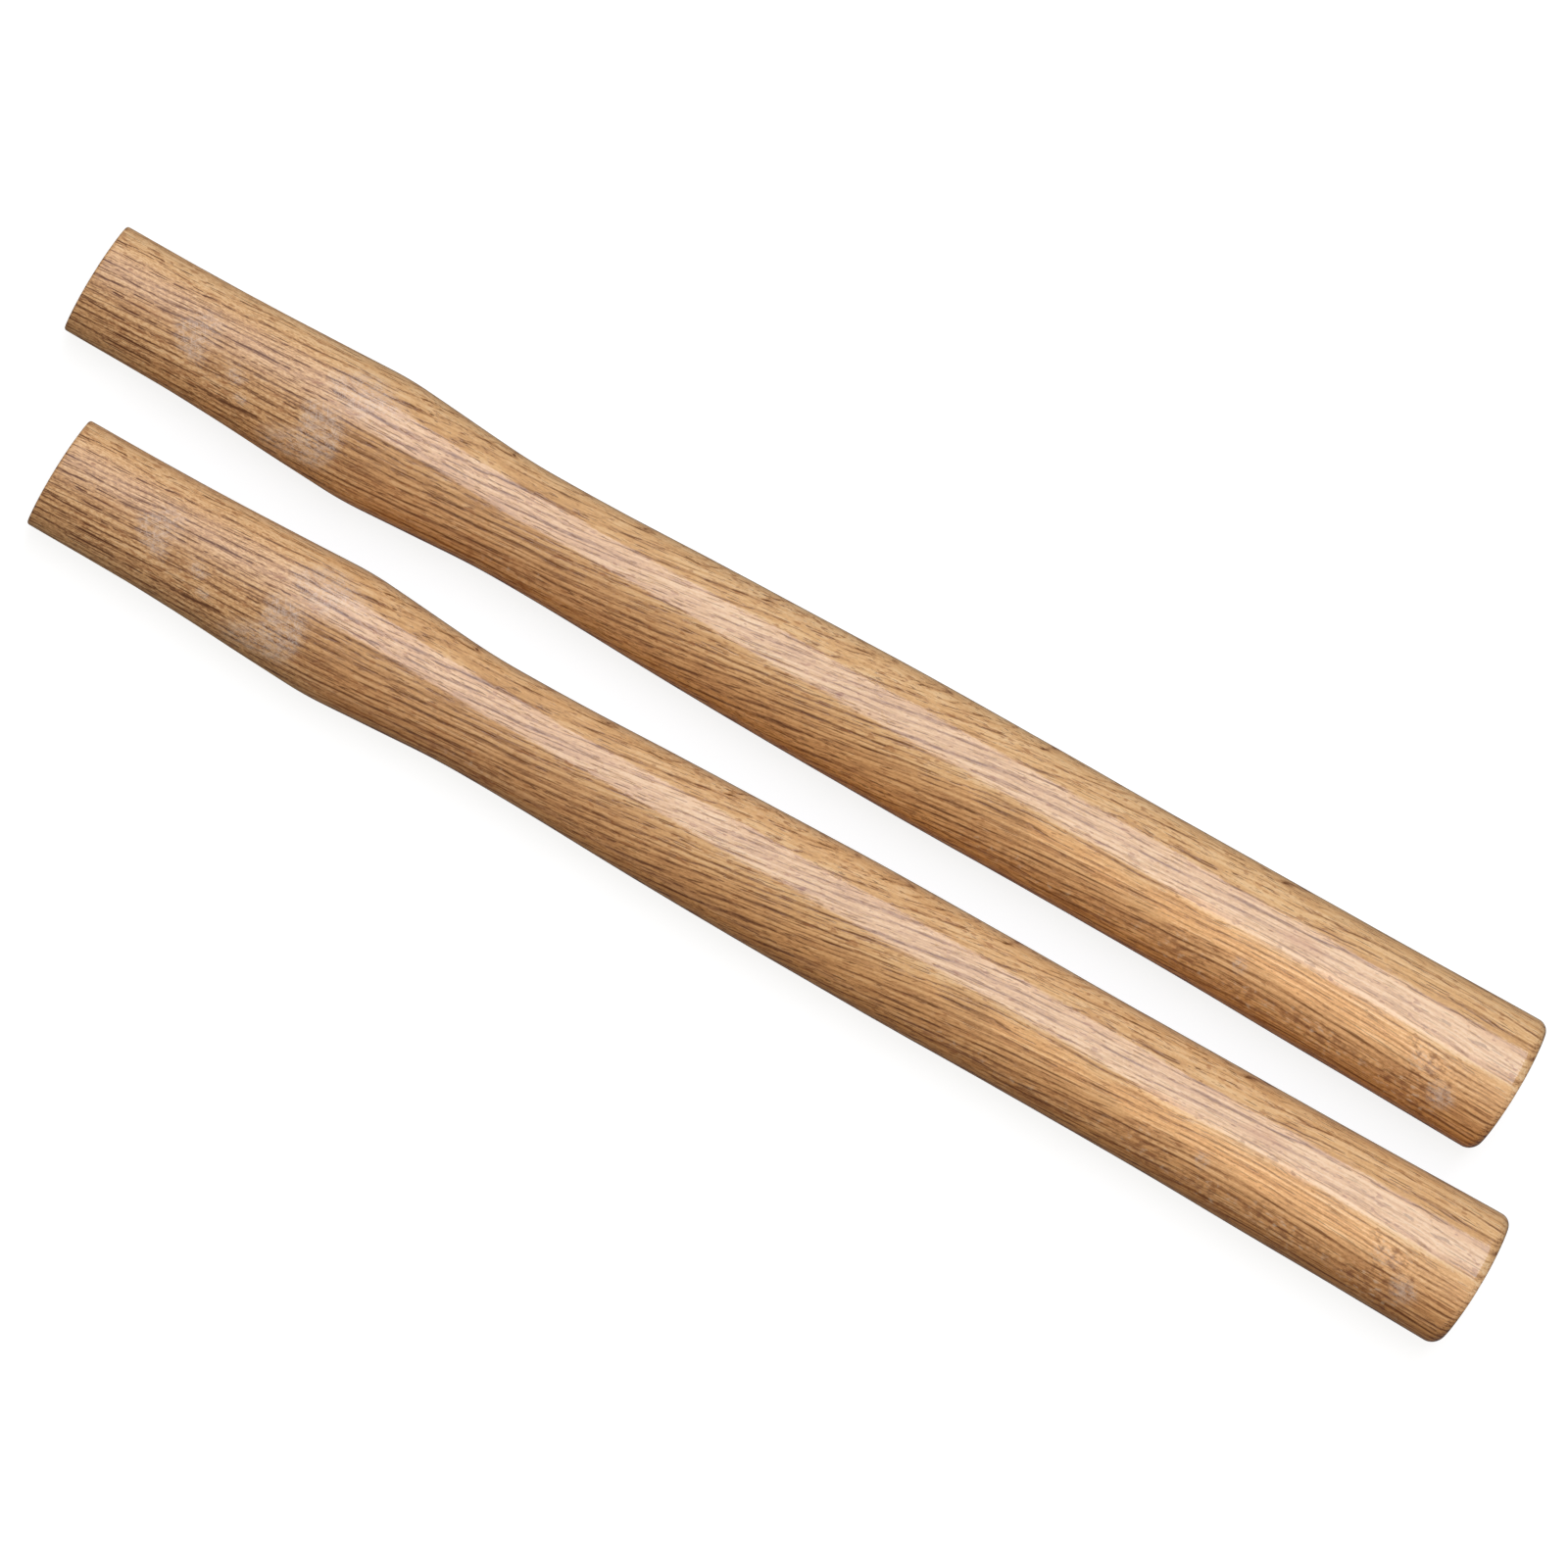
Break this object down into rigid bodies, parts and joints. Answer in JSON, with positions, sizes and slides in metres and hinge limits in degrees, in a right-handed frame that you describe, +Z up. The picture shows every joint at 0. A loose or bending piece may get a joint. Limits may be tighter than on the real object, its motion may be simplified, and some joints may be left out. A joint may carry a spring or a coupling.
{
  "type": "wooden hammer handle pair",
  "caption": "Oval lacquered oak hammer handles lying side by side, each with a slim eye end, a raised shoulder, a waisted neck and a grip that swells to a rounded butt.",
  "frame": {"origin": "on the surface that the pair lies on, below the middle of their shared bounding box", "axes": "+X along the handles from eye end to butt, +Y across them from the front handle to the rear one, +Z up through their broad sides"},
  "size_m": [0.3169, 0.0624, 0.0213],
  "materials": {
    "lacquered_oak": "clear gloss lacquer over open-grained oak"
  },
  "bodies": {
    "front_handle": {"front_handle": "lacquered_oak"},
    "rear_handle": {"rear_handle": "lacquered_oak"}
  },
  "joints": [
    {"name": "rear_handle_slide", "type": "slide", "parent": "front_handle", "child": "rear_handle", "axis": [0, 1, 0], "range_m": [-0.007, 0.1]}
  ]
}
